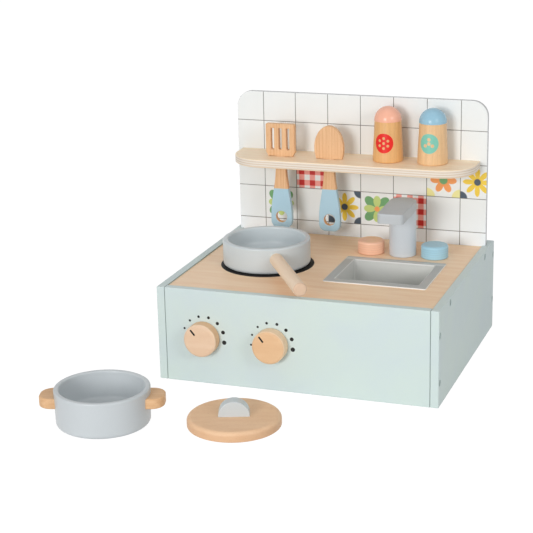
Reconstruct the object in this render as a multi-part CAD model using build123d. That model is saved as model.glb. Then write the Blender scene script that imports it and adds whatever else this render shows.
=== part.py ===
from build123d import *
import os
from math import cos, radians, sin

# Lengths are millimetres. X runs to the right, Y to the back and Z up.
# The origin is the centre of the cabinet's footprint, on the surface that it stands on.

# Fits
screw_gap = 0.05            # round a screw's shank or a tenon, where nothing turns
running_gap = 0.08          # round a shank or axle that turns in its hole
face_gap = 0.3              # between a turning piece and the board that it turns on
board_fit = 0.4             # between a board and the end or the front of its groove

# Cabinet of painted boards
cabinet_width = 340.0
cabinet_depth = 294.0
cabinet_height = 115.0
panel_thickness = 10.0
panel_edge_radius = 1.0
countertop_thickness = 9.0
countertop_recess = 1.5     # countertop's surface below the panels' upper edges

# Wood screws through the side panels, in counterbores
panel_screw_head_radius = 3.7
panel_screw_head_height = 2.4
panel_screw_shank_radius = 1.8
panel_screw_length = 32.0
counterbore_radius = 4.1
counterbore_depth = 3.4
front_screw_heights = (85.0, 29.0)
back_screw_heights = (98.0, 38.5)
counter_screw_setback = 53.0        # of the front ones from the cabinet's front
counter_screw_board_gap = 29.6      # of the rear ones from the backsplash's face

# Backsplash, which slides down into stopped grooves in the side panels
board_thickness = 7.0
board_height = 223.7
board_insert = 40.0         # length of board that is down inside the cabinet
board_setback = 25.4        # from the cabinet's back to the board's front face
board_corner_radius = 20.0
board_edge_radius = 0.8
board_back_gap = 1.6        # behind the board, to the rear rail and the end of the groove
groove_depth = 4.7

# Plywood shelf, screwed on through the back of the board
shelf_length = 314.0
shelf_middle_x = -1.5
shelf_depth = 62.6
shelf_thickness = 10.2
shelf_drop = 75.2           # from the board's top to the shelf's top
shelf_corner_radius = 42.0
shelf_edge_radius = 1.2
shelf_screw_spacing = 120.0
shelf_screw_length = 28.0
shelf_screw_head_radius = 3.4
shelf_screw_head_height = 2.0
shelf_screw_shank_radius = 1.6

# Utensils, which hang in slots through the shelf
utensil_thickness = 7.0
utensil_standoff = 34.1     # from the board's face to the middle of the utensils
utensil_drop = 94.1         # from the seat on the shelf to the end of the handle
utensil_grip_width = 28.0
utensil_end_radius = 9.0    # of the corners at the end of the handle
utensil_waist_width = 19.0
utensil_waist_drop = 41.0   # from the seat to the place where the waist is measured
utensil_neck_width = 13.4
utensil_edge_radius = 0.9
hang_hole_radius = 7.2
hang_hole_drop = 79.1       # from the seat to the hole's centre, where the handle is widest
slot_play = 0.7             # all round a handle's widest part in its slot
turner_x = -93.8
turner_head_width = 38.4
turner_head_height = 42.0
turner_foot_width = 31.6
turner_foot_height = 5.5
turner_corner_radius = 1.8
turner_slot_count = 3
turner_slot_width = 4.2
turner_slot_length = 27.6
turner_slot_pitch = 10.2
turner_slot_lift = 8.5      # from the seat to the lower end of a slot
spatula_x = -29.4
spatula_foot_width = 33.4
spatula_head_width = 38.3
spatula_head_height = 42.3
spatula_widest_lift = 14.0  # from the seat to the widest place

# Shakers
shaker_standoff = 24.1      # from the board's face to the shakers' axes
salt_x = 43.9
pepper_x = 101.0
shaker_base_radius = 19.2
shaker_top_radius = 16.7
shaker_body_height = 51.0
shaker_base_round = 1.6
shaker_cap_height = 17.75
shaker_cap_overhang = 0.3
shaker_cap_rim = 1.5        # upright edge below the dome
shaker_tenon_radius = 6.0
shaker_tenon_length = 8.0

# Hob, an inlaid disc
hob_x = -76.6
hob_y = -19.2
hob_radius = 57.2
hob_thickness = 3.0
hob_proud = 0.2
hob_edge_radius = 0.15

# Sink basin, whose rim lies on the countertop
sink_x = 72.9
sink_y = -19.0
sink_inner_length = 103.0
sink_inner_width = 83.0
sink_depth = 27.5           # below the countertop's surface
sink_wall = 2.0
sink_rim_width = 11.0       # from the inner opening to the rim's outer edge
sink_rim_thickness = 1.2
sink_rim_corner_radius = 2.5
sink_rim_edge_radius = 0.5
sink_corner_radius = 3.0
sink_floor_radius = 2.5
sink_cutout_play = 0.5

# Faucet and its two tap knobs, each turning on a screw from below
tap_row_y = 61.5
faucet_radius = 16.7
faucet_column_height = 57.0
faucet_foot_radius = 0.8
spout_reach = 69.0          # from the column's axis to the spout's tip
spout_thickness = 12.0
spout_tip_width = 32.0
spout_turn = 1.6            # degrees to the right of straight ahead, at rest
spout_corner_radius = 5.0
spout_edge_radius = 1.2
tap_knob_offset = 40.6      # from the faucet's axis to each tap knob's
tap_knob_radius = 16.7
tap_knob_height = 16.0
tap_knob_round = 3.0
tap_foot_radius = 0.8
pivot_shank_radius = 2.0
pivot_head_radius = 3.6
pivot_head_height = 2.2
pivot_screw_grip = 12.0     # length of shank inside the turning piece
pivot_washer_radius = 7.5
pivot_washer_thickness = 1.2

# Stove knobs, each on a dowel axle through the front panel
stove_knob_left_x = -112.0
stove_knob_right_x = -27.4
stove_knob_height = 57.2    # of the axis above the surface that the cabinet stands on
stove_knob_radius = 20.0
stove_knob_thickness = 14.7
stove_knob_round = 3.0
stove_knob_foot_radius = 0.8
axle_radius = 5.0
axle_socket_depth = 9.0
axle_washer_radius = 10.0
axle_washer_thickness = 1.5
axle_screw_shank_radius = 1.75
axle_screw_head_radius = 3.4
axle_screw_head_height = 2.2
axle_screw_grip = 14.0      # length of shank inside the axle

# Frying pan, which stands on the hob
pan_x = -78.6
pan_y = -15.8
pan_radius = 53.6
pan_height = 32.0
pan_wall = 7.0
pan_floor = 6.0
pan_base_round = 4.0
pan_rim_round = 2.2
pan_inner_round = 9.0
pan_handle_turn = -58.0     # degrees from +X, seen from above
pan_handle_radius = 8.0
pan_handle_length = 122.0
pan_handle_lift = 18.8      # of the handle's axis above the countertop
pan_handle_round = 2.5
pan_screw_grip = 22.0

# Pot, which stands beside the cabinet
pot_x = -177.1
pot_y = -289.5
pot_top_radius = 53.9
pot_base_radius = 52.7
pot_height = 42.4
pot_wall = 6.0
pot_floor = 6.0
pot_base_round = 5.0
pot_rim_round = 2.0
pot_inner_round = 8.0
pot_handle_turn = 16.4      # degrees from +X, seen from above
pot_handle_width = 37.0
pot_handle_reach = 16.8     # beyond the pot's wall
pot_handle_corner_radius = 15.0
pot_handle_thickness = 12.2
pot_handle_lift = 21.9      # underside above the surface that the pot stands on
pot_handle_round = 2.0
pot_screw_grip = 12.0

# Screws inside the pan and the pot, into their handles
ware_screw_shank_radius = 1.75
ware_screw_head_radius = 3.4
ware_screw_head_height = 1.6

# Lid, which lies beside the pot
lid_x = -34.7
lid_y = -254.2
lid_radius = 52.7
lid_thickness = 11.7
lid_top_round = 5.0
lid_base_round = 1.5
lid_knob_turn = 19.4        # degrees from +X, seen from above
lid_knob_radius = 17.5
lid_knob_thickness = 15.0
lid_knob_round = 0.6
lid_screw_grip = 11.0
lid_screw_shank_radius = 1.75
lid_screw_head_radius = 3.8
lid_screw_head_height = 2.4
lid_screw_sink = 0.6        # head below the lid's underside

# Details that all screws share
recess_width = 1.0
recess_depth = 1.0
recess_length = 4.2
screw_crown_round = 0.6
screw_point_length = 1.8
screw_point_radius = 0.5

# Distance within which a point counts as lying on a plane
touch = 0.01

# Half a turn, in degrees
half_turn = 180

# Planes and levels that several pieces share
side_x = cabinet_width / 2
inner_x = side_x - panel_thickness
front_y = -cabinet_depth / 2
front_inner_y = front_y + panel_thickness
back_y = cabinet_depth / 2
back_inner_y = back_y - panel_thickness
counter_z = cabinet_height - countertop_recess
counter_base_z = counter_z - countertop_thickness
board_front_y = back_y - board_setback
board_back_y = board_front_y + board_thickness
board_base_z = cabinet_height - board_insert
board_top_z = board_base_z + board_height
rail_front_y = board_back_y + board_back_gap
shelf_z = board_top_z - shelf_drop
shelf_base_z = shelf_z - shelf_thickness
utensil_y = board_front_y - utensil_standoff
shaker_y = board_front_y - shaker_standoff
hob_z = counter_z + hob_proud


# Plain shapes at stated places
def slab(x0, x1, y0, y1, z0, z1):
    middle = Pos((x0 + x1) / 2, (y0 + y1) / 2, (z0 + z1) / 2)
    return middle * Box(x1 - x0, y1 - y0, z1 - z0)


def rod(start, direction, radius, length):
    foot = Plane(origin=start, z_dir=direction).location
    return foot * Pos(0, 0, length / 2) * Cylinder(radius, length)


def edges_at(shape, axis, level):
    return shape.edges().filter_by_position(axis, level - touch, level + touch)


def turned(profile, x, y, z):
    return Pos(x, y, z) * revolve(Plane.XZ * profile, Axis.Z)


# A screw whose head seats at a point and whose shank runs along a direction
def screw(seat, direction, head_radius, head_height, shank_radius, length):
    point_z = length - screw_point_length
    shank = Pos(0, 0, point_z / 2) * Cylinder(shank_radius, point_z)
    point = Cone(shank_radius, screw_point_radius, screw_point_length)
    point = Pos(0, 0, point_z + screw_point_length / 2) * point
    head = Pos(0, 0, -head_height / 2) * Cylinder(head_radius, head_height)
    head = fillet(edges_at(head, Axis.Z, -head_height), screw_crown_round)
    cross = Box(recess_length, recess_width, recess_depth) + Box(recess_width, recess_length, recess_depth)
    body = head + shank + point - Pos(0, 0, recess_depth / 2 - head_height) * cross
    return Plane(origin=seat, z_dir=direction).location * body


def washer(seat, direction, radius, thickness, hole_radius):
    disc = rod(seat, direction, radius, thickness)
    return disc - rod(seat, direction, hole_radius, thickness)


# Places of the screws through the side panels, as (y, z)
def panel_screw_places():
    front = [(front_y + panel_thickness / 2, z) for z in front_screw_heights]
    back = [(back_y - panel_thickness / 2, z) for z in back_screw_heights]
    middle_z = (counter_z + counter_base_z) / 2
    counter = [(front_y + counter_screw_setback, middle_z),
               (board_front_y - counter_screw_board_gap, middle_z)]
    return front, back, counter


def panel_screw_seat(side, y, z):
    return (side * (side_x - counterbore_depth), y, z)


def panel_screws(side):
    front, back, counter = panel_screw_places()
    return [
        screw(panel_screw_seat(side, y, z), (-side, 0, 0), panel_screw_head_radius,
              panel_screw_head_height, panel_screw_shank_radius, panel_screw_length)
        for y, z in front + back + counter
    ]


# Holes that take the shanks, in whichever board they pass through
def panel_screw_holes(side, places):
    radius = panel_screw_shank_radius + screw_gap
    length = panel_screw_length + screw_gap
    return [rod(panel_screw_seat(side, y, z), (-side, 0, 0), radius, length) for y, z in places]


def side_panel(side):
    inner, outer = sorted((side * inner_x, side * side_x))
    panel = slab(inner, outer, front_y, back_y, 0, cabinet_height)
    panel = fillet(panel.edges(), panel_edge_radius)
    front, back, counter = panel_screw_places()
    for hole in panel_screw_holes(side, front + back + counter):
        panel -= hole
    for y, z in front + back + counter:
        panel -= rod((side * side_x, y, z), (-side, 0, 0), counterbore_radius, counterbore_depth)
    groove = sorted((side * (inner_x - panel_thickness), side * (inner_x + groove_depth)))
    above = cabinet_height + panel_thickness
    return panel - slab(*groove, board_front_y - board_fit, rail_front_y, board_base_z, above)


def stove_axle_places():
    return {"left": stove_knob_left_x, "right": stove_knob_right_x}


def front_panel():
    panel = slab(-inner_x, inner_x, front_y, front_inner_y, 0, cabinet_height)
    panel = fillet(panel.edges(), panel_edge_radius)
    for side in (-1, 1):
        for hole in panel_screw_holes(side, panel_screw_places()[0]):
            panel -= hole
    for x in stove_axle_places().values():
        start = (x, front_y, stove_knob_height)
        panel -= rod(start, (0, 1, 0), axle_radius + running_gap, panel_thickness)
    return panel


def back_panel():
    panel = slab(-inner_x, inner_x, back_inner_y, back_y, 0, cabinet_height)
    panel = fillet(panel.edges(), panel_edge_radius)
    for side in (-1, 1):
        for hole in panel_screw_holes(side, panel_screw_places()[1]):
            panel -= hole
    return panel


def rear_rail():
    return slab(-inner_x, inner_x, rail_front_y, back_inner_y, counter_base_z, counter_z)


def tap_places():
    return {"faucet": sink_x, "hot_tap": sink_x - tap_knob_offset, "cold_tap": sink_x + tap_knob_offset}


def sink_block(growth, z0, z1, corner_radius):
    outline = RectangleRounded(sink_inner_length + 2 * growth, sink_inner_width + 2 * growth,
                               corner_radius)
    return Pos(sink_x, sink_y, z0) * extrude(outline, z1 - z0)


def countertop():
    top = slab(-inner_x, inner_x, front_inner_y, board_front_y - board_fit, counter_base_z, counter_z)
    for side in (-1, 1):
        for hole in panel_screw_holes(side, panel_screw_places()[2]):
            top -= hole
    inlay = hob_thickness - hob_proud
    top -= rod((hob_x, hob_y, counter_z), (0, 0, -1), hob_radius + screw_gap, inlay)
    play = sink_wall + sink_cutout_play
    top -= sink_block(play, counter_base_z, counter_z, sink_corner_radius + play)
    for x in tap_places().values():
        hole_radius = pivot_shank_radius + running_gap
        top -= rod((x, tap_row_y, counter_base_z), (0, 0, 1), hole_radius, countertop_thickness)
    return top


def hob_disc():
    disc = rod((hob_x, hob_y, hob_z), (0, 0, -1), hob_radius, hob_thickness)
    return fillet(edges_at(disc, Axis.Z, hob_z), hob_edge_radius)


def sink_basin():
    rim_z = counter_z + sink_rim_thickness
    floor_z = counter_z - sink_depth
    rim = sink_block(sink_rim_width, counter_z, rim_z, sink_rim_corner_radius)
    rim = fillet(edges_at(rim, Axis.Z, rim_z), sink_rim_edge_radius)
    tub = sink_block(sink_wall, floor_z - sink_wall, counter_z, sink_corner_radius + sink_wall)
    tub = fillet(edges_at(tub, Axis.Z, floor_z - sink_wall), sink_floor_radius)
    hollow = sink_block(0, floor_z, rim_z, sink_corner_radius)
    hollow = fillet(edges_at(hollow, Axis.Z, floor_z), sink_floor_radius)
    return rim + tub - hollow


# A turning piece's screw and washer, below the countertop
def pivot_washer(x):
    hole_radius = pivot_shank_radius + screw_gap
    seat = (x, tap_row_y, counter_base_z)
    return washer(seat, (0, 0, -1), pivot_washer_radius, pivot_washer_thickness, hole_radius)


def pivot_screw(x):
    seat = (x, tap_row_y, counter_base_z - pivot_washer_thickness)
    length = pivot_washer_thickness + countertop_thickness + face_gap + pivot_screw_grip
    return screw(seat, (0, 0, 1), pivot_head_radius, pivot_head_height, pivot_shank_radius, length)


def pivot_socket(x):
    start = (x, tap_row_y, counter_z + face_gap)
    depth = pivot_screw_grip + screw_gap
    return rod(start, (0, 0, 1), pivot_shank_radius + screw_gap, depth)


def faucet_column():
    base_z = counter_z + face_gap
    column = rod((sink_x, tap_row_y, base_z), (0, 0, 1), faucet_radius, faucet_column_height)
    column = fillet(edges_at(column, Axis.Z, base_z), faucet_foot_radius)
    return column - pivot_socket(sink_x)


# Seen from above: round over the column, narrowing towards a blunt tip
def faucet_spout():
    outline = make_hull(
        Circle(faucet_radius).edges()
        + (Pos(0, -spout_reach / 2) * Rectangle(spout_tip_width, spout_reach)).edges()
    )
    tip = [v for v in outline.vertices() if abs(v.Y + spout_reach) < touch]
    outline = fillet(tip, spout_corner_radius)
    base_z = counter_z + face_gap + faucet_column_height
    spout = Pos(sink_x, tap_row_y, base_z) * Rot(0, 0, spout_turn) * extrude(outline, spout_thickness)
    rims = edges_at(spout, Axis.Z, base_z + spout_thickness)
    return fillet(rims, spout_edge_radius)


def tap_knob(x):
    base_z = counter_z + face_gap
    knob = rod((x, tap_row_y, base_z), (0, 0, 1), tap_knob_radius, tap_knob_height)
    knob = fillet(edges_at(knob, Axis.Z, base_z + tap_knob_height), tap_knob_round)
    knob = fillet(edges_at(knob, Axis.Z, base_z), tap_foot_radius)
    return knob - pivot_socket(x)


# Stove knob, axle, washer and screw, in order from the front
def stove_knob(x):
    foot_y = front_y - face_gap
    face_y = foot_y - stove_knob_thickness
    knob = rod((x, foot_y, stove_knob_height), (0, -1, 0), stove_knob_radius, stove_knob_thickness)
    knob = fillet(edges_at(knob, Axis.Y, face_y), stove_knob_round)
    knob = fillet(edges_at(knob, Axis.Y, foot_y), stove_knob_foot_radius)
    start = (x, foot_y, stove_knob_height)
    return knob - rod(start, (0, -1, 0), axle_radius + screw_gap, axle_socket_depth)


def axle_end_y():
    return front_inner_y + face_gap


def stove_axle(x):
    start_y = front_y - face_gap - axle_socket_depth
    axle = rod((x, start_y, stove_knob_height), (0, 1, 0), axle_radius, axle_end_y() - start_y)
    end = (x, axle_end_y(), stove_knob_height)
    hole_radius = axle_screw_shank_radius + screw_gap
    return axle - rod(end, (0, -1, 0), hole_radius, axle_screw_grip + screw_gap)


def stove_washer(x):
    hole_radius = axle_screw_shank_radius + screw_gap
    seat = (x, axle_end_y(), stove_knob_height)
    return washer(seat, (0, 1, 0), axle_washer_radius, axle_washer_thickness, hole_radius)


def stove_screw(x):
    seat = (x, axle_end_y() + axle_washer_thickness, stove_knob_height)
    length = axle_washer_thickness + axle_screw_grip
    return screw(seat, (0, -1, 0), axle_screw_head_radius, axle_screw_head_height,
                 axle_screw_shank_radius, length)


def shelf_screw_places():
    middle_z = (shelf_z + shelf_base_z) / 2
    return [(step * shelf_screw_spacing, board_back_y - shelf_screw_head_height, middle_z)
            for step in (-1, 0, 1)]


def shelf_screws():
    return [
        screw(seat, (0, -1, 0), shelf_screw_head_radius, shelf_screw_head_height,
              shelf_screw_shank_radius, shelf_screw_length)
        for seat in shelf_screw_places()
    ]


def shelf_screw_holes():
    radius = shelf_screw_shank_radius + screw_gap
    return [rod(seat, (0, -1, 0), radius, shelf_screw_length + screw_gap)
            for seat in shelf_screw_places()]


def backsplash():
    half_width = inner_x + groove_depth - board_fit
    board = slab(-half_width, half_width, board_front_y, board_back_y, board_base_z, board_top_z)
    upright = board.edges().filter_by(Axis.Y)
    corners = [edge for edge in upright if edge.center().Z > board_top_z - board_edge_radius]
    board = fillet(corners, board_corner_radius)
    for y in (board_front_y, board_back_y):
        board = fillet(edges_at(board, Axis.Y, y), board_edge_radius)
    for x, y, z in shelf_screw_places():
        head_hole = shelf_screw_head_radius + screw_gap
        board -= rod((x, board_back_y, z), (0, -1, 0), head_hole, shelf_screw_head_height)
    for hole in shelf_screw_holes():
        board -= hole
    return board


def shelf():
    left_x = shelf_middle_x - shelf_length / 2
    shelf_front_y = board_front_y - shelf_depth
    board = slab(left_x, left_x + shelf_length, shelf_front_y, board_front_y, shelf_base_z, shelf_z)
    upright = board.edges().filter_by(Axis.Z)
    corners = [edge for edge in upright if edge.center().Y < board_front_y - shelf_edge_radius]
    board = fillet(corners, shelf_corner_radius)
    for z in (shelf_base_z, shelf_z):
        rim = [edge for edge in edges_at(board, Axis.Z, z) if edge.center().Y < board_front_y - touch]
        board = fillet(rim, shelf_edge_radius)
    for x in (turner_x, spatula_x):
        half_slot = utensil_grip_width / 2 + slot_play
        half_gap = utensil_thickness / 2 + slot_play
        board -= slab(x - half_slot, x + half_slot, utensil_y - half_gap, utensil_y + half_gap,
                      shelf_base_z, shelf_z)
    for hole in shelf_screw_holes():
        board -= hole
    return board


def face_within(*lines):
    return make_face([edge for line in lines for edge in line.edges()])


# Outlines of the utensils are drawn with the seat on the shelf at height 0
def handle_outline():
    grip = utensil_grip_width / 2
    waist = utensil_waist_width / 2
    neck = utensil_neck_width / 2
    side = Spline((grip, -hang_hole_drop), (waist, -utensil_waist_drop), (neck, -shelf_thickness),
                  tangents=((0, 1), (0, 1)))
    neck_side = Line((neck, -shelf_thickness), (neck, 0))
    seat = Line((neck, 0), (-neck, 0))
    end = Polyline((-grip, -hang_hole_drop), (-grip, -utensil_drop), (grip, -utensil_drop),
                   (grip, -hang_hole_drop))
    other_side = mirror(side, Plane.YZ)
    face = face_within(side, neck_side, seat, mirror(neck_side, Plane.YZ), other_side, end)
    corners = [v for v in face.vertices() if v.Y < touch - utensil_drop]
    return fillet(corners, utensil_end_radius)


# A turner's slot is square at the top and round at its lower end
def turner_slot():
    radius = turner_slot_width / 2
    upright = turner_slot_length - radius
    return Circle(radius) + Pos(0, upright / 2) * Rectangle(turner_slot_width, upright)


def turner_head():
    half_foot = turner_foot_width / 2
    half_head = turner_head_width / 2
    corners = ((-half_foot, 0), (half_foot, 0), (half_head, turner_foot_height),
               (half_head, turner_head_height), (-half_head, turner_head_height),
               (-half_head, turner_foot_height))
    face = make_face(Polyline(*corners, close=True))
    top = [v for v in face.vertices() if v.Y > turner_head_height - touch]
    face = fillet(top, turner_corner_radius)
    slot_y = turner_slot_lift + turner_slot_width / 2
    for number in range(turner_slot_count):
        x = (number - (turner_slot_count - 1) / 2) * turner_slot_pitch
        face -= Pos(x, slot_y) * turner_slot()
    return face


def spatula_head():
    half_foot = spatula_foot_width / 2
    half_head = spatula_head_width / 2
    rise = spatula_head_height - spatula_widest_lift
    widest = (half_head, spatula_widest_lift)
    arch = EllipticalCenterArc((0, spatula_widest_lift), half_head, rise, 0, arc_size=half_turn)
    cheek = TangentArc(widest, (half_foot, 0), tangent=(0, -1))
    foot = Line((half_foot, 0), (-half_foot, 0))
    return face_within(arch, cheek, foot, mirror(cheek, Plane.YZ))


def utensil(x, head):
    outline = handle_outline() + head
    outline -= Pos(0, -hang_hole_drop) * Circle(hang_hole_radius)
    flat = extrude(Plane.XZ * outline, utensil_thickness / 2, both=True)
    for y in (-utensil_thickness / 2, utensil_thickness / 2):
        flat = fillet(edges_at(flat, Axis.Y, y), utensil_edge_radius)
    return Pos(x, utensil_y, shelf_z) * flat


# The body tapers upwards and is bored for the cap's tenon
def shaker_body(x):
    profile = make_face(Polyline(
        (0, 0), (shaker_base_radius, 0), (shaker_top_radius, shaker_body_height),
        (0, shaker_body_height), close=True))
    foot = [v for v in profile.vertices() if v.X > shaker_base_radius - touch and v.Y < touch]
    profile = fillet(foot, shaker_base_round)
    body = turned(profile, x, shaker_y, shelf_z)
    top = (x, shaker_y, shelf_z + shaker_body_height)
    return body - rod(top, (0, 0, -1), shaker_tenon_radius + screw_gap, shaker_tenon_length + screw_gap)


def shaker_cap(x):
    radius = shaker_top_radius + shaker_cap_overhang
    dome = TangentArc((0, shaker_cap_height), (radius, shaker_cap_rim), tangent=(1, 0))
    base = Line((0, 0), (radius, 0))
    rim = Line((radius, 0), (radius, shaker_cap_rim))
    axis = Line((0, shaker_cap_height), (0, 0))
    base_z = shelf_z + shaker_body_height
    cap = turned(face_within(base, rim, dome, axis), x, shaker_y, base_z)
    return cap + rod((x, shaker_y, base_z), (0, 0, -1), shaker_tenon_radius, shaker_tenon_length)


# A turned vessel's section: wall, floor, rounded rim and rounded base
def vessel(base_radius, top_radius, height, wall, floor, base_round, rim_round, inner_round):
    lean = (top_radius - base_radius) / height
    floor_radius = base_radius - wall + lean * floor
    points = ((0, 0), (base_radius, 0), (top_radius, height), (top_radius - wall, height),
              (floor_radius, floor), (0, floor))
    profile = make_face(Polyline(*points, close=True))
    for place, radius in ((1, base_round), (2, rim_round), (3, rim_round), (4, inner_round)):
        x, y = points[place]
        corner = [v for v in profile.vertices() if abs(v.X - x) < touch and abs(v.Y - y) < touch]
        profile = fillet(corner, radius)
    return profile


def heading(degrees):
    return (cos(radians(degrees)), sin(radians(degrees)), 0)


def away(x, y, z, degrees, distance):
    dx, dy, _ = heading(degrees)
    return (x + dx * distance, y + dy * distance, z)


# A screw that seats inside a vessel's wall and runs outwards into its handle
def ware_screw(seat, direction, length):
    return screw(seat, direction, ware_screw_head_radius, ware_screw_head_height,
                 ware_screw_shank_radius, length)


def ware_screw_hole(seat, direction, length):
    return rod(seat, direction, ware_screw_shank_radius + screw_gap, length + screw_gap)


def pan_axis_z():
    return counter_z + pan_handle_lift


def pan_screw_seat():
    return away(pan_x, pan_y, pan_axis_z(), pan_handle_turn, pan_radius - pan_wall)


def pan_screw_length():
    return pan_wall + pan_screw_grip


def pan_bore():
    return ware_screw_hole(pan_screw_seat(), heading(pan_handle_turn), pan_screw_length())


# The hollow wall is flattened round the screw's seat
def frying_pan_body():
    profile = vessel(pan_radius, pan_radius, pan_height, pan_wall, pan_floor,
                     pan_base_round, pan_rim_round, pan_inner_round)
    body = turned(profile, pan_x, pan_y, hob_z)
    back = away(pan_x, pan_y, pan_axis_z(), pan_handle_turn, pan_radius - pan_wall - pan_rim_round)
    seat = rod(back, heading(pan_handle_turn), ware_screw_head_radius + screw_gap, pan_rim_round)
    return body - pan_bore() - seat


# The dowel's inner end is scribed to the pan's round wall
def frying_pan_handle():
    start = away(pan_x, pan_y, pan_axis_z(), pan_handle_turn, pan_radius - pan_wall)
    length = pan_wall + pan_handle_length
    dowel = rod(start, heading(pan_handle_turn), pan_handle_radius, length)
    along = Axis(start, heading(pan_handle_turn))
    rim = dowel.edges().filter_by(GeomType.CIRCLE).sort_by(along)[-1]
    dowel = fillet(rim, pan_handle_round)
    dowel -= rod((pan_x, pan_y, hob_z), (0, 0, 1), pan_radius, pan_height)
    return dowel - pan_bore()


def frying_pan_screw():
    return ware_screw(pan_screw_seat(), heading(pan_handle_turn), pan_screw_length())


# The pot's wall leans outwards a little, so its radius is worked out at each height
def pot_radius_at(z):
    return pot_base_radius + (pot_top_radius - pot_base_radius) * z / pot_height


def pot_axis_z():
    return pot_handle_lift + pot_handle_thickness / 2


def pot_screw_seat(turn):
    radius = pot_radius_at(pot_axis_z() - ware_screw_head_radius) - pot_wall
    return away(pot_x, pot_y, pot_axis_z(), turn, radius)


def pot_screw_length():
    return pot_wall + pot_screw_grip


def pot_turns():
    return {"right": pot_handle_turn, "left": pot_handle_turn + half_turn}


def pot_bore(turn):
    return ware_screw_hole(pot_screw_seat(turn), heading(turn), pot_screw_length())


def pot_body():
    profile = vessel(pot_base_radius, pot_top_radius, pot_height, pot_wall, pot_floor,
                     pot_base_round, pot_rim_round, pot_inner_round)
    body = turned(profile, pot_x, pot_y, 0)
    for turn in pot_turns().values():
        dx, dy, _ = heading(turn)
        x, y, z = pot_screw_seat(turn)
        back = (x - dx * pot_wall, y - dy * pot_wall, z)
        body -= rod(back, heading(turn), ware_screw_head_radius + screw_gap, pot_wall)
        body -= pot_bore(turn)
    return body


# Tab with wide round corners, scribed to the pot's wall
def pot_handle(turn):
    half_width = pot_handle_width / 2
    wall = pot_radius_at(pot_axis_z())
    end = wall + pot_handle_reach
    inner = wall / 2
    tab = slab(inner, end, -half_width, half_width, 0, pot_handle_thickness)
    upright = tab.edges().filter_by(Axis.Z)
    corners = [edge for edge in upright if edge.center().X > end - touch]
    tab = fillet(corners, pot_handle_corner_radius)
    for z in (0, pot_handle_thickness):
        rim = [edge for edge in edges_at(tab, Axis.Z, z) if edge.center().X > inner + touch]
        tab = fillet(rim, pot_handle_round)
    tab = Pos(pot_x, pot_y, pot_handle_lift) * Rot(0, 0, turn) * tab
    lean = Cone(pot_base_radius, pot_top_radius, pot_height)
    return tab - Pos(pot_x, pot_y, pot_height / 2) * lean - pot_bore(turn)


def pot_handle_screws():
    return [ware_screw(pot_screw_seat(turn), heading(turn), pot_screw_length())
            for turn in pot_turns().values()]


def lid_screw_seat():
    return (lid_x, lid_y, lid_screw_sink + lid_screw_head_height)


def lid_screw_length():
    return lid_thickness - lid_screw_sink - lid_screw_head_height + lid_screw_grip


def lid_bore():
    radius = lid_screw_shank_radius + screw_gap
    return rod(lid_screw_seat(), (0, 0, 1), radius, lid_screw_length() + screw_gap)


def lid_disc():
    disc = rod((lid_x, lid_y, 0), (0, 0, 1), lid_radius, lid_thickness)
    disc = fillet(edges_at(disc, Axis.Z, lid_thickness), lid_top_round)
    disc = fillet(edges_at(disc, Axis.Z, 0), lid_base_round)
    head_depth = lid_screw_sink + lid_screw_head_height
    disc -= rod((lid_x, lid_y, 0), (0, 0, 1), lid_screw_head_radius + screw_gap, head_depth)
    return disc - lid_bore()


# Half of a disc, standing on its cut edge
def lid_knob():
    arch = CenterArc((0, 0), lid_knob_radius, 0, half_turn)
    face = face_within(arch, Line((-lid_knob_radius, 0), (lid_knob_radius, 0)))
    half = extrude(Plane.XZ * face, lid_knob_thickness / 2, both=True)
    for y in (-lid_knob_thickness / 2, lid_knob_thickness / 2):
        rim = [edge for edge in edges_at(half, Axis.Y, y) if edge.center().Z > touch]
        half = fillet(rim, lid_knob_round)
    return Pos(lid_x, lid_y, lid_thickness) * Rot(0, 0, lid_knob_turn) * half - lid_bore()


def lid_screw():
    return screw(lid_screw_seat(), (0, 0, 1), lid_screw_head_radius, lid_screw_head_height,
                 lid_screw_shank_radius, lid_screw_length())


# Every piece, by the name of its node
def pieces():
    made = {
        "side_panel_left": side_panel(-1),
        "side_panel_right": side_panel(1),
        "side_screws_left": panel_screws(-1),
        "side_screws_right": panel_screws(1),
        "front_panel": front_panel(),
        "back_panel": back_panel(),
        "rear_rail": rear_rail(),
        "countertop": countertop(),
        "hob_disc": hob_disc(),
        "sink_basin": sink_basin(),
        "faucet_column": faucet_column(),
        "faucet_spout": faucet_spout(),
        "backsplash": backsplash(),
        "shelf": shelf(),
        "shelf_screws": shelf_screws(),
        "slotted_turner": utensil(turner_x, turner_head()),
        "spatula": utensil(spatula_x, spatula_head()),
        "salt_shaker_body": shaker_body(salt_x),
        "salt_shaker_cap": shaker_cap(salt_x),
        "pepper_shaker_body": shaker_body(pepper_x),
        "pepper_shaker_cap": shaker_cap(pepper_x),
        "frying_pan_body": frying_pan_body(),
        "frying_pan_handle": frying_pan_handle(),
        "frying_pan_screw": frying_pan_screw(),
        "pot_body": pot_body(),
        "pot_handle_screws": pot_handle_screws(),
        "lid_disc": lid_disc(),
        "lid_knob": lid_knob(),
        "lid_screw": lid_screw(),
    }
    for name, x in tap_places().items():
        if name != "faucet":
            made[f"{name}_knob"] = tap_knob(x)
        made[f"{name}_washer"] = pivot_washer(x)
        made[f"{name}_screw"] = pivot_screw(x)
    for side, x in stove_axle_places().items():
        made[f"stove_knob_{side}"] = stove_knob(x)
        made[f"stove_axle_{side}"] = stove_axle(x)
        made[f"stove_washer_{side}"] = stove_washer(x)
        made[f"stove_screw_{side}"] = stove_screw(x)
    for side, turn in pot_turns().items():
        made[f"pot_handle_{side}"] = pot_handle(turn)
    return made


os.makedirs("parts", exist_ok=True)
for node, shape in pieces().items():
    if isinstance(shape, list):
        shape = Compound(children=shape)
    export_step(shape, f"parts/{node}.step")
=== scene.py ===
from math import cos, pi, radians, sin

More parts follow.
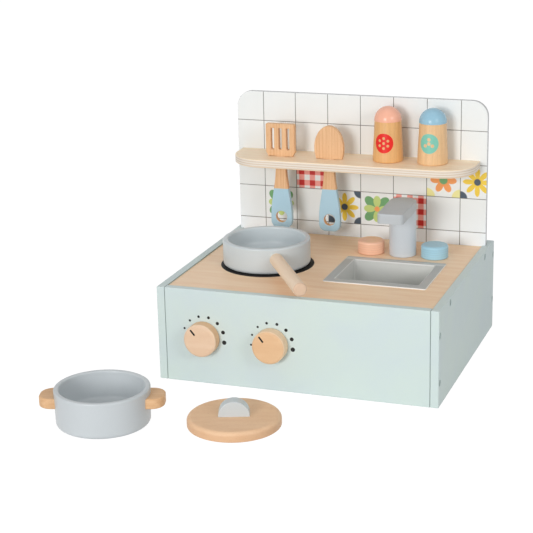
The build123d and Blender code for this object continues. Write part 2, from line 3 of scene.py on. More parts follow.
import bmesh
import bpy
from mathutils import Matrix, Vector


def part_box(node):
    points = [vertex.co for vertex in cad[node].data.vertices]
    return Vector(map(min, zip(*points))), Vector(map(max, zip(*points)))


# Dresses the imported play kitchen: paints, timbers, prints, lamps and camera.
# Lengths are metres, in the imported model's own axes. Colours are written as 0 to 255.
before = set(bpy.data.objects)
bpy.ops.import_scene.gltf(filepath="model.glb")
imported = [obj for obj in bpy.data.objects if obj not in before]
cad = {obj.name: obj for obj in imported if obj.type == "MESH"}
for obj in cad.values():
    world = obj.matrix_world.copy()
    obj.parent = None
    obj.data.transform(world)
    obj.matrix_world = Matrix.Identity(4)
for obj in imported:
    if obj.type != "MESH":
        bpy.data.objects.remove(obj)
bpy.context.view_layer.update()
mm = 0.001
print("stage: frame loaded,", len(cad), "nodes")


# A written colour as the linear one that a shader reads
def tint(red, green, blue):
    shares = [channel / 255 for channel in (red, green, blue)]
    linear = [((c + 0.055) / 1.055) ** 2.4 if c > 0.04045 else c / 12.92 for c in shares]
    return (*linear, 1.0)


def scaled(colour, factor):
    return [channel * factor for channel in colour]


def middle(node):
    low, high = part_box(node)
    return (low + high) / 2


def heading(degrees):
    return cos(radians(degrees)), sin(radians(degrees))


# A socket that carries a number, so that shader maths reads as sums
class Value:
    def __init__(self, nodes, socket):
        self.nodes = nodes
        self.socket = socket

    def __add__(self, other):
        return self.nodes.calc("ADD", self, other)

    def __sub__(self, other):
        return self.nodes.calc("SUBTRACT", self, other)

    def __rsub__(self, other):
        return self.nodes.calc("SUBTRACT", other, self)

    def __mul__(self, other):
        return self.nodes.calc("MULTIPLY", self, other)

    def __truediv__(self, other):
        return self.nodes.calc("DIVIDE", self, other)

    def __rtruediv__(self, other):
        return self.nodes.calc("DIVIDE", other, self)

    def __pow__(self, other):
        return self.nodes.calc("POWER", self, other)

    def __rpow__(self, other):
        return self.nodes.calc("POWER", other, self)

    def __abs__(self):
        return self.nodes.calc("ABSOLUTE", self)

    __radd__ = __add__
    __rmul__ = __mul__


# A node tree, of a material or of the world: all its nodes are made here
class Nodes:
    def __init__(self, tree):
        self.tree = tree

    def node(self, kind, settings={}, sockets={}):
        made = self.tree.nodes.new(kind)
        for key, setting in settings.items():
            setattr(made, key, setting)
        for key, value in sockets.items():
            self.feed(made.inputs[key], value)
        return made

    def feed(self, socket, value):
        if isinstance(value, Value):
            self.tree.links.new(value.socket, socket)
        else:
            socket.default_value = value

    def out(self, made, key=0):
        return Value(self, made.outputs[key])

    def calc(self, operation, *values):
        settings = {"operation": operation}
        return self.out(self.node("ShaderNodeMath", settings, dict(enumerate(values))))

    def either(self, a, b):
        return self.calc("MAXIMUM", a, b)

    def seenRays(self):                                # 1 for rays that show the background
        path = self.node("ShaderNodeLightPath")
        seen = self.out(path, "Is Camera Ray")
        for name in ("Is Glossy Ray", "Is Transmission Ray"):
            seen = self.either(seen, self.out(path, name))
        return seen


# One material, whose patterns read the piece's Object coordinates
class Finish(Nodes):
    def __init__(self, name):
        self.material = bpy.data.materials.new(name)
        self.material.use_nodes = True
        super().__init__(self.material.node_tree)
        self.shader = self.tree.nodes["Principled BSDF"]
        place = self.out(self.node("ShaderNodeTexCoord"), "Object")
        axes = self.node("ShaderNodeSeparateXYZ", {}, {0: place})
        self.x, self.y, self.z = [self.out(axes, key) for key in range(3)]

    def ramp(self, value, low, high, start=0.0, end=1.0):    # eases from start to end
        sockets = {"Value": value, "From Min": low, "From Max": high, "To Min": start, "To Max": end}
        return self.out(self.node("ShaderNodeMapRange", {"interpolation_type": "SMOOTHSTEP"}, sockets))

    def within(self, distance, edge, blur=0.12 * mm):        # 1 inside the edge and 0 outside it
        return self.ramp(distance, edge - blur, edge + blur, 1.0, 0.0)

    def around(self, value, centre, spread):                 # a noise, spread about a number
        return value * spread + (centre - spread / 2)

    def noise(self, u, v, w, detail=3.0, rough=0.5):
        vector = self.out(self.node("ShaderNodeCombineXYZ", {}, {0: u, 1: v, 2: w}))
        sockets = {"Vector": vector, "Scale": 1.0, "Detail": detail, "Roughness": rough}
        return self.out(self.node("ShaderNodeTexNoise", {}, sockets))

    def speckle(self, size, detail=2.0):                     # even noise, the same along every axis
        return self.noise(self.x / size, self.y / size, self.z / size, detail)

    def layered(self, wide, tall, detail=3.0):               # noise that lies in level layers
        return self.noise(self.x / wide, self.y / wide, self.z / tall, detail)

    def mix(self, amount, first, second):
        sockets = {0: amount, 6: first, 7: second}
        return self.out(self.node("ShaderNodeMix", {"data_type": "RGBA"}, sockets), 2)

    def cover(self, colour, amount, tone):                   # a print, a stain or a worn place
        return self.mix(amount, colour, tint(*tone))

    def length(self, a, b):
        return (a * a + b * b) ** 0.5

    def surface(self, colour, rough, height, relief, specular=0.35, metallic=0.0):
        bump = self.node("ShaderNodeBump", {}, {"Height": height, "Distance": relief, "Strength": 1.0})
        sockets = {"Base Color": colour, "Roughness": rough, "Normal": self.out(bump),
                   "Specular IOR Level": specular, "Metallic": metallic}
        for key, value in sockets.items():
            self.feed(self.shader.inputs[key], value)
        return self.material


def dress(material, *names):
    for name in names:
        for place in cad[name].material_slots:
            place.material = material


# Paint: a faint spray texture and a slight drift of tone, and on some pieces the lathe's rings as
# painted shade
spray = {"drift": 60 * mm, "fine": 1.2 * mm, "fineShare": 0.3, "change": (0.25, 0.75),
         "patch": 9 * mm, "roughSpread": 0.12, "grain": 0.9 * mm, "relief": 0.015 * mm}
# painted shade: the lathe's rings as bands in a darker copy of the paint's colour
latheRingShade = {"wander": 1.6 * mm, "wanderSize": 12 * mm, "change": (-1.0, 0.2), "strength": 0.16,
             "tone": 0.8}


def paintColour(finish, look):
    drift = finish.speckle(spray["drift"]) * (1 - spray["fineShare"])
    tone = finish.ramp(drift + finish.speckle(spray["fine"]) * spray["fineShare"], *spray["change"])
    deep = look.get("deep") or scaled(look["colour"], 1 - look["drift"])
    return finish.mix(tone, tint(*deep), tint(*look["colour"]))


def paint(name, look, overprint=None):
    finish = Finish(name)
    colour = paintColour(finish, look)
    if overprint:
        colour = overprint(finish, colour)
    # the lathe's rings are painted shade, darker bands where the ridges would shade
    if "lathe" in look:
        level = finish.z + finish.speckle(latheRingShade["wanderSize"]) * latheRingShade["wander"]
        ring = finish.calc("SINE", level * (2 * pi / look["lathe"]))
        ring = finish.ramp(ring, *latheRingShade["change"], latheRingShade["strength"], 0.0)
        colour = finish.cover(colour, ring, scaled(look["colour"], latheRingShade["tone"]))
    rough = finish.around(finish.speckle(spray["patch"]), look["rough"], spray["roughSpread"])
    height = finish.speckle(spray["grain"], 3.0)
    return finish.surface(colour, rough, height, spray["relief"], look.get("specular", 0.4))


# Timber: long streaks, growth lines and short pores, all along one direction.
# Sizes of a pattern are across the grain and along it.
grain = {"streakChange": (0.28, 0.72), "streakShare": 0.55, "bendAcross": 20 * mm, "bendAlong": 0.7,
         "slant": 0.6, "lineShare": 0.1, "fibre": (0.45 * mm, 9 * mm), "fibreShare": 0.35,
         "pore": (0.5 * mm, 3.5 * mm), "poreChange": (0.62, 0.74), "fibreRise": 0.6, "poreDepth": 0.5,
         "roughSpread": 0.16}


def timber(finish, look, upright=False):
    if upright:
        along, across, deep = finish.z, finish.x, finish.y
    else:
        c, s = heading(look.get("turn", 0.0))
        along, across, deep = finish.x * c + finish.y * s, finish.y * c - finish.x * s, finish.z
    across = across + look.get("shift", 0.0)

    def strands(width, length, detail, rough=0.5):
        return finish.noise(along / length, across / width, deep / width, detail, rough)

    width, length = look["streak"]
    streak = finish.ramp(strands(width, length, 4.0, 0.6), *grain["streakChange"])
    bend = strands(grain["bendAcross"], length * grain["bendAlong"], 2.0) * look["bend"]
    line = finish.calc("SINE", (across + deep * grain["slant"] + bend) * (2 * pi / look["rings"]))
    fibre = strands(*grain["fibre"], 2.0)
    pore = finish.ramp(strands(*grain["pore"], 1.0), *grain["poreChange"])
    tone = streak * grain["streakShare"] + line * grain["lineShare"] + fibre * grain["fibreShare"]
    colour = finish.mix(tone, tint(*look["light"]), tint(*look["dark"]))
    colour = finish.cover(colour, pore * look["pores"], look["pore"])
    rough = finish.around(fibre, look["rough"], grain["roughSpread"])
    return colour, rough, fibre * grain["fibreRise"] - pore * grain["poreDepth"]


def wood(name, look):
    finish = Finish(name)
    return finish.surface(*timber(finish, look), look["relief"])


# Cabinet boards, with the scale of dots round each stove knob, and painted shade along the seams
# between boards
mintPaint = {"colour": (209, 224, 218), "deep": (205, 219, 221), "rough": 0.48}
screwPaint = dict(mintPaint, colour=(188, 204, 197), deep=(182, 198, 195), rough=0.4)
# painted shade: a dark line where the boards meet
seamShadow = {"half": 0.45 * mm, "blur": 0.25 * mm, "strength": 0.6, "tone": (92, 112, 107)}
dotScale = {"colour": (4, 4, 5), "radius": 25.8 * mm, "count": 8, "first": 187.0, "step": -28.0,
            "smallest": 1.3 * mm, "largest": 2.7 * mm, "growth": 1.8, "depth": 0.3 * mm,
            "start": {"left": 1, "right": 0}}


# Painted shade along the line where a side board meets the boards between
def paintSeamShadow(finish, colour):
    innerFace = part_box("front_panel")[1].x
    gap = abs(abs(finish.x) - innerFace)
    shade = finish.within(gap, seamShadow["half"], seamShadow["blur"])
    return finish.cover(colour, shade * seamShadow["strength"], seamShadow["tone"])


def scaleDots(finish, colour):
    front = finish.within(finish.y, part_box("front_panel")[0].y + dotScale["depth"])
    inked = 0.0
    for side in ("left", "right"):
        centre = middle(f"stove_knob_{side}")
        for number in range(dotScale["start"][side], dotScale["count"]):
            c, s = heading(dotScale["first"] + number * dotScale["step"])
            x, z = centre.x + dotScale["radius"] * c, centre.z + dotScale["radius"] * s
            growth = (number / (dotScale["count"] - 1)) ** dotScale["growth"]
            size = dotScale["smallest"] + (dotScale["largest"] - dotScale["smallest"]) * growth
            dot = finish.within(finish.length(finish.x - x, finish.z - z), size)
            inked = finish.either(inked, dot)
    # the front board gets its printed dots, then the painted seam shade
    return paintSeamShadow(finish, finish.cover(colour, inked * front, dotScale["colour"]))


def dressCabinet():
    boards = paint("mint paint", mintPaint, paintSeamShadow)
    dress(boards, "side_panel_left", "side_panel_right", "back_panel")
    dress(paint("mint paint with dots", mintPaint, scaleDots), "front_panel")
    dress(paint("mint paint on screws", screwPaint), "side_screws_left", "side_screws_right")
    print("stage: cabinet boards painted")


# Countertop, rear rail, hob and sink
counterWood = {"light": (255, 226, 193), "dark": (242, 202, 161), "pore": (206, 170, 132),
               "pores": 0.2, "streak": (14 * mm, 110 * mm), "rings": 16 * mm, "bend": 22 * mm,
               "rough": 0.42, "relief": 0.012 * mm}
hobPaint = {"colour": (9, 9, 10), "drift": 0.1, "rough": 0.55, "specular": 0.15}
basinPlastic = {"colour": (216, 217, 213), "drift": 0.02, "rough": 0.4}
basinShade = {
    "rim": {"depth": 0.35 * mm, "strength": 0.75, "tone": (171, 173, 171)},
    "rear": {"inset": 8 * mm, "half": 4 * mm, "blur": 1.5 * mm, "strength": 0.8,
             "tone": (212, 212, 208)},
    # painted highlight along the rim's edges
    "paintedGlint": {"edges": ((0.2 * mm, 0.45 * mm), (11 * mm, 0.3 * mm)), "depth": 1.5 * mm,
             "strength": 0.7, "tone": (244, 243, 241)},
    # painted shade, deepening towards the tub's foot
    "tubShade": {"top": 4 * mm, "foot": 27 * mm, "strength": 0.22, "tone": (120, 121, 118)},
}


# The basin's rim is a little darker, but less so at the rear, and has a painted highlight along its
# edges.
# The tub has painted shade that darkens it downwards.
def shadeBasin(finish, colour):
    rim, rear, paintedGlint, tubShade = [basinShade[part] for part in ("rim", "rear", "paintedGlint", "tubShade")]
    low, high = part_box("sink_basin")
    centre, half = (low + high) / 2, (high - low) / 2
    below = high.z - finish.z
    onRim = finish.within(below, rim["depth"])
    colour = finish.cover(colour, onRim * rim["strength"], rim["tone"])
    onRear = finish.within(abs(finish.y - (high.y - rear["inset"])), rear["half"], rear["blur"])
    colour = finish.cover(colour, onRim * onRear * rear["strength"], rear["tone"])
    # painted highlight along the rim's outer and inner edges
    past = finish.either(abs(finish.x - centre.x) - half.x, abs(finish.y - centre.y) - half.y)
    edges = 0.0
    for inset, width in paintedGlint["edges"]:
        edges = finish.either(edges, finish.within(abs(past + inset), width))
    near = finish.within(below, paintedGlint["depth"])
    colour = finish.cover(colour, edges * near * paintedGlint["strength"], paintedGlint["tone"])
    # painted shade: darker towards the foot of the tub
    depth = finish.ramp(below, tubShade["top"], tubShade["foot"], 0.0, tubShade["strength"])
    return finish.cover(colour, depth, tubShade["tone"])


def dressTop():
    dress(wood("birch veneer", counterWood), "countertop", "rear_rail")
    dress(paint("black hob paint", hobPaint), "hob_disc")
    dress(paint("grey basin", basinPlastic, shadeBasin), "sink_basin")
    print("stage: countertop, hob and sink dressed")


# Painted turned pieces. Below a roughness of 0.35 this paint renders patchy on the wide ones
panPaint = {"colour": (203, 211, 214), "drift": 0.02, "rough": 0.35, "specular": 0.5}
potPaint = dict(panPaint, colour=(200, 206, 209))
columnPaint = dict(panPaint, colour=(212, 219, 225), rough=0.38)
spoutPaint = dict(panPaint, colour=(190, 196, 200), rough=0.38)
coralPaint = {"colour": (255, 202, 171), "drift": 0.03, "rough": 0.35, "lathe": 2.9 * mm}
bluePaint = dict(coralPaint, colour=(171, 215, 234))
coralGloss = {"colour": (251, 186, 158), "drift": 0.03, "rough": 0.24}
blueGloss = dict(coralGloss, colour=(157, 201, 222))


def dressPainted():
    dress(paint("grey paint", panPaint), "frying_pan_body", "lid_knob")
    dress(paint("grey paint on the pot", potPaint), "pot_body")
    dress(paint("grey paint on the column", columnPaint), "faucet_column")
    dress(paint("grey paint on the spout", spoutPaint), "faucet_spout")
    dress(paint("coral paint", coralPaint), "hot_tap_knob")
    dress(paint("blue paint", bluePaint), "cold_tap_knob")
    dress(paint("coral gloss", coralGloss), "salt_shaker_cap")
    dress(paint("blue gloss", blueGloss), "pepper_shaker_cap")
    print("stage: painted pieces dressed")


# Beech pieces. A turn is the grain's direction in degrees from +X, seen from above
beech = {"light": (236, 196, 154), "dark": (222, 176, 130), "pore": (190, 138, 94), "pores": 0.35,
         "streak": (3 * mm, 45 * mm), "rings": 7 * mm, "bend": 6 * mm, "rough": 0.5,
         "relief": 0.02 * mm}
potBeech = dict(beech, light=(230, 189, 146), dark=(215, 168, 122), turn=16.0)
lidBeech = dict(beech, light=(241, 203, 165), dark=(233, 190, 150), streak=(7 * mm, 50 * mm),
                rings=12 * mm, shift=13 * mm, turn=19.4)
lidSide = {"top": 1.5 * mm, "foot": 5 * mm, "strength": 0.45, "tone": (206, 160, 120)}
panBeech = dict(beech, light=(245, 222, 196), dark=(236, 208, 178), pore=(206, 170, 138), pores=0.2,
                streak=(7 * mm, 60 * mm), turn=-58.0)
handleEnd = {"start": 1.0 * mm, "full": 0.2 * mm, "strength": 0.6, "tone": (206, 168, 140)}
dowelBeech = dict(beech, turn=90.0)


# The lid is darker round its side
def lidFinish():
    finish = Finish("beech of the lid")
    colour, rough, height = timber(finish, lidBeech)
    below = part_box("lid_disc")[1].z - finish.z
    side = finish.ramp(below, lidSide["top"], lidSide["foot"], 0.0, lidSide["strength"])
    colour = finish.cover(colour, side, lidSide["tone"])
    return finish.surface(colour, rough, height, lidBeech["relief"])


# The pan's handle is darker on its end grain
def panHandleFinish():
    finish = Finish("pale beech")
    colour, rough, height = timber(finish, panBeech)
    low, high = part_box("frying_pan_handle")
    radius = (high.z - low.z) / 2
    c, s = heading(panBeech["turn"])
    tip = (high.x - radius * abs(s)) * c + (low.y + radius * abs(c)) * s
    run = finish.x * c + finish.y * s
    ending = finish.ramp(run, tip - handleEnd["start"], tip - handleEnd["full"])
    colour = finish.cover(colour, ending * handleEnd["strength"], handleEnd["tone"])
    return finish.surface(colour, rough, height, panBeech["relief"])


def dressBeech():
    dress(wood("beech of the pot", potBeech), "pot_handle_left", "pot_handle_right")
    dress(lidFinish(), "lid_disc")
    dress(panHandleFinish(), "frying_pan_handle")
    dress(wood("beech dowel", dowelBeech), "stove_axle_left", "stove_axle_right")
    print("stage: beech pieces dressed")


# Stove knobs: a printed mark on the face, and a painted highlight on the arc where the face meets the
# side
knobMark = {"colour": (6, 4, 3), "angle": 129.0, "inner": 9.6 * mm, "outer": 16.0 * mm,
            "half": 1.15 * mm, "depth": 0.3 * mm, "dent": 2.0}
knobSide = {"start": 1.5 * mm, "full": 4 * mm, "strength": 0.75}
# painted highlight on the rounded edge between face and side
knobGlint = {"depth": 1.6 * mm, "half": 0.6 * mm, "blur": 0.5 * mm, "strength": 0.5,
            "tone": (252, 228, 200)}
knobWood = {"pore": (200, 154, 114), "pores": 0.2, "streak": (9 * mm, 40 * mm), "rings": 12 * mm,
            "bend": 9 * mm, "rough": 0.5, "relief": 0.02 * mm}
knobTones = {
    "left": {"light": (236, 205, 176), "dark": (228, 192, 159), "side": (228, 182, 136),
             "shift": 4 * mm},
    "right": {"light": (234, 195, 153), "dark": (225, 182, 139), "side": (243, 214, 180),
              "shift": 31 * mm},
}


def stoveKnob(side):
    finish = Finish(f"stove knob {side}")
    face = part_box(f"stove_knob_{side}")[0].y
    centre = middle(f"stove_knob_{side}")
    look = dict(knobWood, **knobTones[side])
    colour, rough, height = timber(finish, look)
    turned = finish.ramp(finish.y, face + knobSide["start"], face + knobSide["full"])
    colour = finish.cover(colour, turned * knobSide["strength"], look["side"])
    # painted highlight where the rounded edge turns from face to side
    arc = abs(finish.y - (face + knobGlint["depth"]))
    paintedGlint = finish.within(arc, knobGlint["half"], knobGlint["blur"])
    colour = finish.cover(colour, paintedGlint * knobGlint["strength"], knobGlint["tone"])
    c, s = heading(knobMark["angle"])
    dx, dz = finish.x - centre.x, finish.z - centre.z
    run = dx * c + dz * s - (knobMark["inner"] + knobMark["outer"]) / 2
    past = finish.either(abs(run) - (knobMark["outer"] - knobMark["inner"]) / 2, 0.0)
    mark = finish.within(finish.length(past, dz * c - dx * s), knobMark["half"])
    mark = mark * finish.within(finish.y, face + knobMark["depth"])
    colour = finish.cover(colour, mark, knobMark["colour"])
    return finish.surface(colour, rough, height - mark * knobMark["dent"], look["relief"])


def dressKnobs():
    for side in ("left", "right"):
        dress(stoveKnob(side), f"stove_knob_{side}")
    print("stage: stove knobs dressed")


# Shelf: birch plywood, whose plies show on every edge
shelfWood = dict(counterWood, light=(255, 238, 209), dark=(248, 217, 182))
plywood = {"plies": 7, "pale": (242, 233, 221), "deep": (224, 206, 185), "change": (0.45, 0.85),
           "wobble": 0.16, "wobbleSize": (50 * mm, 10 * mm), "fibre": 0.3,
           "fibreSize": (4 * mm, 0.25 * mm), "skin": 1.0 * mm}
plyGlue = {"half": 0.06, "blur": 0.05, "strength": 0.5, "tone": (198, 173, 147)}    # in plies


def shelfFinish():
    finish = Finish("birch plywood")
    low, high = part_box("shelf")
    colour, rough, height = timber(finish, shelfWood)
    level = (finish.z - low.z) / ((high.z - low.z) / plywood["plies"])
    level = level + finish.around(finish.layered(*plywood["wobbleSize"]), 0.0, plywood["wobble"])
    fibre = finish.layered(*plywood["fibreSize"]) * plywood["fibre"]
    layer = finish.ramp(finish.calc("PINGPONG", level, 1.0) + fibre, *plywood["change"])
    edge = finish.mix(layer, tint(*plywood["pale"]), tint(*plywood["deep"]))
    glue = finish.within(finish.calc("PINGPONG", level, 0.5), plyGlue["half"], plyGlue["blur"])
    edge = finish.cover(edge, glue * plyGlue["strength"], plyGlue["tone"])
    above = finish.within(high.z - finish.z, plywood["skin"])
    below = finish.within(finish.z - low.z, plywood["skin"])
    colour = finish.mix(finish.either(above, below), edge, colour)
    return finish.surface(colour, rough, height, shelfWood["relief"])


# Utensils: beech, with the grip dipped in paint up to a level, and its hole left bare
utensilWood = dict(beech, light=(240, 198, 154), dark=(216, 163, 114), streak=(1.6 * mm, 70 * mm),
                   rings=4 * mm, bend=2 * mm, pores=0.4, relief=0.03 * mm)
gripPaint = {"colour": (177, 210, 226), "drift": 0.03, "rough": 0.42, "smoothing": 0.8,
             "thickness": 1.5, "hole": 7.55 * mm, "holeLift": 15.0 * mm}
utensils = {"slotted_turner": {"level": 181.4 * mm, "shift": 20 * mm},
            "spatula": {"level": 184.3 * mm, "shift": 47 * mm}}


def utensilFinish(node):
    finish = Finish(f"dipped beech {node}")
    low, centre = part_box(node)[0], middle(node)
    look = dict(utensilWood, shift=utensils[node]["shift"])
    colour, rough, height = timber(finish, look, upright=True)
    dipped = finish.within(finish.z, utensils[node]["level"])
    hole = finish.length(finish.x - centre.x, finish.z - (low.z + gripPaint["holeLift"]))
    painted = dipped * (1.0 - finish.within(hole, gripPaint["hole"]))
    colour = finish.mix(painted, colour, paintColour(finish, gripPaint))
    height = height * (1.0 - painted * gripPaint["smoothing"]) + painted * gripPaint["thickness"]
    rough = rough * (1.0 - painted) + painted * gripPaint["rough"]
    return finish.surface(colour, rough, height, look["relief"], specular=0.38)


# Shakers: a round badge on the front with a plain motif of dots
shakerWood = dict(beech, rough=0.36)
shakers = {
    "salt": {"light": (240, 186, 123), "shift": 11 * mm, "badge": (230, 28, 14), "lift": 25.1 * mm,
             "dots": 6, "ring": 6.2 * mm, "dot": 1.7 * mm},
    "pepper": {"light": (243, 201, 151), "shift": 29 * mm, "badge": (128, 200, 180),
               "lift": 27.6 * mm, "dots": 3, "ring": 5.2 * mm, "dot": 2.2 * mm},
}
badgeShape = {"radius": 12.3 * mm, "aside": 0.7 * mm, "thickness": 1.0}
darkGrain = 0.91            # of the light grain's tone


def shakerFinish(name):
    finish = Finish(f"{name} shaker beech")
    shaker = shakers[name]
    low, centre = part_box(f"{name}_shaker_body")[0], middle(f"{name}_shaker_body")
    look = dict(shakerWood, light=shaker["light"], dark=scaled(shaker["light"], darkGrain),
                shift=shaker["shift"])
    colour, rough, height = timber(finish, look, upright=True)
    around = finish.calc("ARCTAN2", finish.x - centre.x, centre.y - finish.y)
    radius = finish.length(finish.x - centre.x, finish.y - centre.y)
    dx, dz = around * radius + badgeShape["aside"], finish.z - (low.z + shaker["lift"])
    disc = finish.within(finish.length(dx, dz), badgeShape["radius"])
    dots = finish.within(finish.length(dx, dz), shaker["dot"])
    for number in range(shaker["dots"]):
        c, s = heading(90 + 360 * number / shaker["dots"])
        x, z = shaker["ring"] * c, shaker["ring"] * s
        dots = finish.either(dots, finish.within(finish.length(dx - x, dz - z), shaker["dot"]))
    printed = disc * (1.0 - dots)
    colour = finish.cover(colour, printed, shaker["badge"])
    height = height + printed * badgeShape["thickness"]
    return finish.surface(colour, rough, height, look["relief"], specular=0.4)


def dressShelf():
    dress(shelfFinish(), "shelf")
    for node in utensils:
        dress(utensilFinish(node), node)
    for name in shakers:
        dress(shakerFinish(name), f"{name}_shaker_body")
    print("stage: shelf, utensils and shakers dressed")


# Splash board: white print of square tiles, some with plain traditional tile patterns, and painted
# light at its foot
boardPaint = {"white": (239, 242, 241), "shade": (236, 239, 238), "drift": 40 * mm,
              # foot: painted light, a cooler white that cancels the countertop's warm bounce light
              "foot": (243, 250, 255), "footFull": 110 * mm, "footEnd": 170 * mm,
              "footStrength": 0.8, "edge": (200, 201, 201), "depth": 0.25 * mm, "blur": 0.2 * mm,
              "patch": 8 * mm, "rough": 0.38, "roughSpread": 0.1, "grain": 1.5 * mm,
              "relief": 0.01 * mm}
tileGrid = {"pitch": 43.24 * mm, "x": -128.5 * mm, "z": 260.8 * mm, "line": 0.4 * mm,
            "blur": 0.25 * mm, "ink": (92, 88, 86)}
tileColours = {"yellow": (240, 205, 70), "slate": (70, 85, 100), "red": (200, 40, 34),
               "pink": (240, 160, 150), "leaf": (110, 165, 110), "lime": (195, 215, 130),
               "orange": (244, 160, 92), "cream": (238, 232, 160)}
# Each design is printed in steps: a shape, its sizes in half tiles, and its colour
tileDesigns = {
    "leafy": (("petals", (4, 0.04, 0.98, pi / 2), "leaf"), ("petals", (4, 0.02, 0.80), "lime"),
              ("disc", (0.16,), "orange")),
    "gingham": (("bands", (6.0,), "pink"), ("crossings", (6.0,), "red")),
    "sunny": (("corners", (0.42,), "slate"), ("petals", (8, 0.30, 0.86), "yellow"),
              ("disc", (0.2,), "slate")),
    "fruity": (("corners", (0.5,), "cream"), ("petals", (6, 0.35, 0.78), "orange"),
               ("disc", (0.24,), "leaf")),
}
# Columns count to the right from the grid's x, and rows up from its z
tilePlaces = {"leafy": ((0, -3), (3, -3)), "gingham": ((1, -2), (4, -3)),
              "sunny": ((2, -3), (6, -2)), "fruity": ((5, -2),)}
tileBlur = {"cell": 0.01, "shape": 0.03, "band": 0.04}


def printTiles(finish, white):
    pitch = tileGrid["pitch"]
    across, up = finish.x - tileGrid["x"], finish.z - tileGrid["z"]
    column, row = [finish.calc("FLOOR", run / pitch) for run in (across, up)]
    u = (across / pitch - column) * 2.0 - 1.0
    v = (up / pitch - row) * 2.0 - 1.0
    reach = finish.length(u, v)
    angle = finish.calc("ARCTAN2", v, u)

    def petals(count, inner, outer, turn=0.0):
        wave = abs(finish.calc("COSINE", angle * (count / 2) + turn))
        return finish.within(reach, inner + wave * (outer - inner), tileBlur["shape"])

    def disc(radius):
        return finish.within(reach, radius, tileBlur["shape"])

    def corners(radius):
        corner = finish.length(1.0 - abs(u), 1.0 - abs(v))
        return finish.within(corner, radius, tileBlur["shape"])

    def stripes(axis, count):
        wave = finish.calc("PINGPONG", axis * (count / 2), 1.0)
        return finish.within(wave, 0.5, tileBlur["band"])

    def bands(count):
        return finish.either(stripes(u, count), stripes(v, count))

    def crossings(count):
        return stripes(u, count) * stripes(v, count)

    shapes = {"petals": petals, "disc": disc, "corners": corners, "bands": bands,
              "crossings": crossings}
    colour = white
    for name, steps in tileDesigns.items():
        design = white
        for shape, sizes, ink in steps:
            design = finish.cover(design, shapes[shape](*sizes), tileColours[ink])
        here = 0.0
        for wantedColumn, wantedRow in tilePlaces[name]:
            away = abs(column - wantedColumn) + abs(row - wantedRow)
            here = finish.either(here, finish.within(away, 0.5, tileBlur["cell"]))
        colour = finish.mix(here, colour, design)
    gaps = [finish.calc("PINGPONG", run, pitch / 2) for run in (across, up)]
    line = finish.within(finish.calc("MINIMUM", *gaps), tileGrid["line"], tileGrid["blur"])
    return finish.cover(colour, line, tileGrid["ink"])


def boardFinish():
    finish = Finish("printed board")
    look = boardPaint
    white = finish.mix(finish.speckle(look["drift"]), tint(*look["white"]), tint(*look["shade"]))
    # painted light: the white turns lighter and cooler towards the foot, against the countertop's warm
    # bounce
    foot = finish.ramp(finish.z, look["footFull"], look["footEnd"], look["footStrength"], 0.0)
    white = finish.cover(white, foot, look["foot"])
    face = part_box("backsplash")[0].y
    front = finish.within(finish.y, face + look["depth"], look["blur"])
    colour = finish.mix(front, tint(*look["edge"]), printTiles(finish, white))
    rough = finish.around(finish.speckle(look["patch"]), look["rough"], look["roughSpread"])
    height = finish.speckle(look["grain"])
    return finish.surface(colour, rough, height, look["relief"], specular=0.45)


# Zinc-plated screws and washers
zinc = {"dark": (176, 178, 182), "light": (214, 215, 216), "brushing": (0.6 * mm, 0.2 * mm),
        "rough": 0.35, "roughSpread": 0.2, "relief": 0.01 * mm}


def zincFinish():
    finish = Finish("zinc plate")
    brushed = finish.layered(*zinc["brushing"], 2.0)
    colour = finish.mix(brushed, tint(*zinc["dark"]), tint(*zinc["light"]))
    rough = finish.around(brushed, zinc["rough"], zinc["roughSpread"])
    return finish.surface(colour, rough, brushed, zinc["relief"], specular=0.5, metallic=1.0)


def dressBoardAndSteel():
    dress(boardFinish(), "backsplash")
    fixings = [name for name in cad if name.endswith(("_screw", "_screws", "_washer"))]
    fixings += [name for name in cad if name.startswith(("stove_washer", "stove_screw"))]
    dress(zincFinish(), *fixings)
    print("stage: board and", len(fixings), "fixings dressed")


# Floor, lamps, background and camera
stage = {"floor": 30.0, "floorTone": 0.8, "seenTone": 0.14, "seenGlow": 0.955, "skyGlow": 0.42,
         "aim": (0.0, 0.0, 0.12)}
camera = {"place": (0.5513, -1.7481, 0.6734), "azimuth": 20.01, "elevation": 17.05, "roll": -0.023,
          "lens": 105.74, "sensor": 36.0}
frontKey = {"place": (-0.5, -3.0, 0.8), "size": 0.95, "power": 42.0}
lamps = {
    "keyLamp": frontKey,
    "frontLamp": frontKey,
    "fillLamp": {"place": (2.3, -1.7, 1.3), "size": 0.9, "power": 16.8},
    "topLamp": {"place": (0.0, 0.0, 3.0), "size": 2.0, "power": 6.5},
}
# The front lamp stands in for the key lamp on these boards, and shines past the pot and lid
frontBoards = ("front_panel", "side_panel_left")


def makeFloor():
    mesh = bmesh.new()
    bmesh.ops.create_grid(mesh, x_segments=1, y_segments=1, size=stage["floor"] / 2)
    data = bpy.data.meshes.new("floor")
    mesh.to_mesh(data)
    mesh.free()
    floor = bpy.data.objects.new("floor", data)
    bpy.context.scene.collection.objects.link(floor)
    finish = Finish("white floor")
    finish.tree.nodes.remove(finish.shader)

    def matt(tone):
        return finish.out(finish.node("ShaderNodeBsdfDiffuse", {}, {"Color": (tone, tone, tone, 1)}))

    glow = finish.out(finish.node("ShaderNodeEmission", {}, {"Strength": stage["seenGlow"]}))
    shown = finish.node("ShaderNodeAddShader", {}, {0: matt(stage["seenTone"]), 1: glow})
    sockets = {0: finish.seenRays(), 1: matt(stage["floorTone"]), 2: finish.out(shown)}
    both = finish.node("ShaderNodeMixShader", {}, sockets)
    finish.feed(finish.tree.nodes["Material Output"].inputs["Surface"], finish.out(both))
    data.materials.append(finish.material)


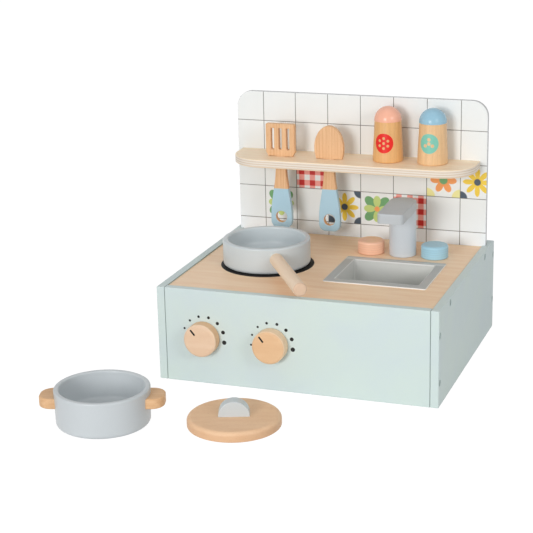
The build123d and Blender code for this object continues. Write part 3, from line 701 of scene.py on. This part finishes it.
def makeWorld():
    world = bpy.data.worlds.new("studio")
    bpy.context.scene.world = world
    world.use_nodes = True
    nodes = Nodes(world.node_tree)
    back = nodes.tree.nodes["Background"]
    nodes.feed(back.inputs["Color"], (1, 1, 1, 1))
    nodes.feed(back.inputs["Strength"], nodes.seenRays() * (1 - stage["skyGlow"]) + stage["skyGlow"])


def linked(name, state, pieces):
    group = bpy.data.collections.new(name)
    for piece in pieces:
        group.objects.link(cad[piece])
    for member in group.collection_objects:
        member.light_linking.link_state = state
    return group


def makeLamps():
    aim = Vector(stage["aim"])
    for name, look in lamps.items():
        lamp = bpy.data.lights.new(name, "AREA")
        lamp.size = look["size"]
        lamp.energy = look["power"]
        holder = bpy.data.objects.new(name, lamp)
        bpy.context.scene.collection.objects.link(holder)
        place = Vector(look["place"])
        facing = (aim - place).to_track_quat("-Z", "Y").to_matrix().to_4x4()
        holder.matrix_world = Matrix.Translation(place) @ facing
        links = holder.light_linking
        if name == "keyLamp":
            links.receiver_collection = linked("lit by the key", "EXCLUDE", frontBoards)
        if name == "frontLamp":
            standing = [piece for piece in cad if piece.startswith(("pot_", "lid_"))]
            links.receiver_collection = linked("lit by the front", "INCLUDE", frontBoards)
            links.blocker_collection = linked("front shadows", "EXCLUDE", standing)


def makeCamera():
    data = bpy.data.cameras.new("camera")
    data.lens = camera["lens"]
    data.sensor_width = camera["sensor"]
    holder = bpy.data.objects.new("camera", data)
    bpy.context.scene.collection.objects.link(holder)
    turn = Matrix.Rotation(radians(camera["azimuth"]), 4, "Z")
    tilt = Matrix.Rotation(radians(90 - camera["elevation"]), 4, "X")
    roll = Matrix.Rotation(camera["roll"], 4, "Z")
    holder.matrix_world = Matrix.Translation(camera["place"]) @ turn @ tilt @ roll
    bpy.context.scene.camera = holder


dressCabinet()
dressTop()
dressPainted()
dressBeech()
dressKnobs()
dressShelf()
dressBoardAndSteel()
makeFloor()
makeWorld()
makeLamps()
makeCamera()
bpy.context.scene.view_settings.view_transform = "Standard"
print("stage: floor, lamps and camera set")
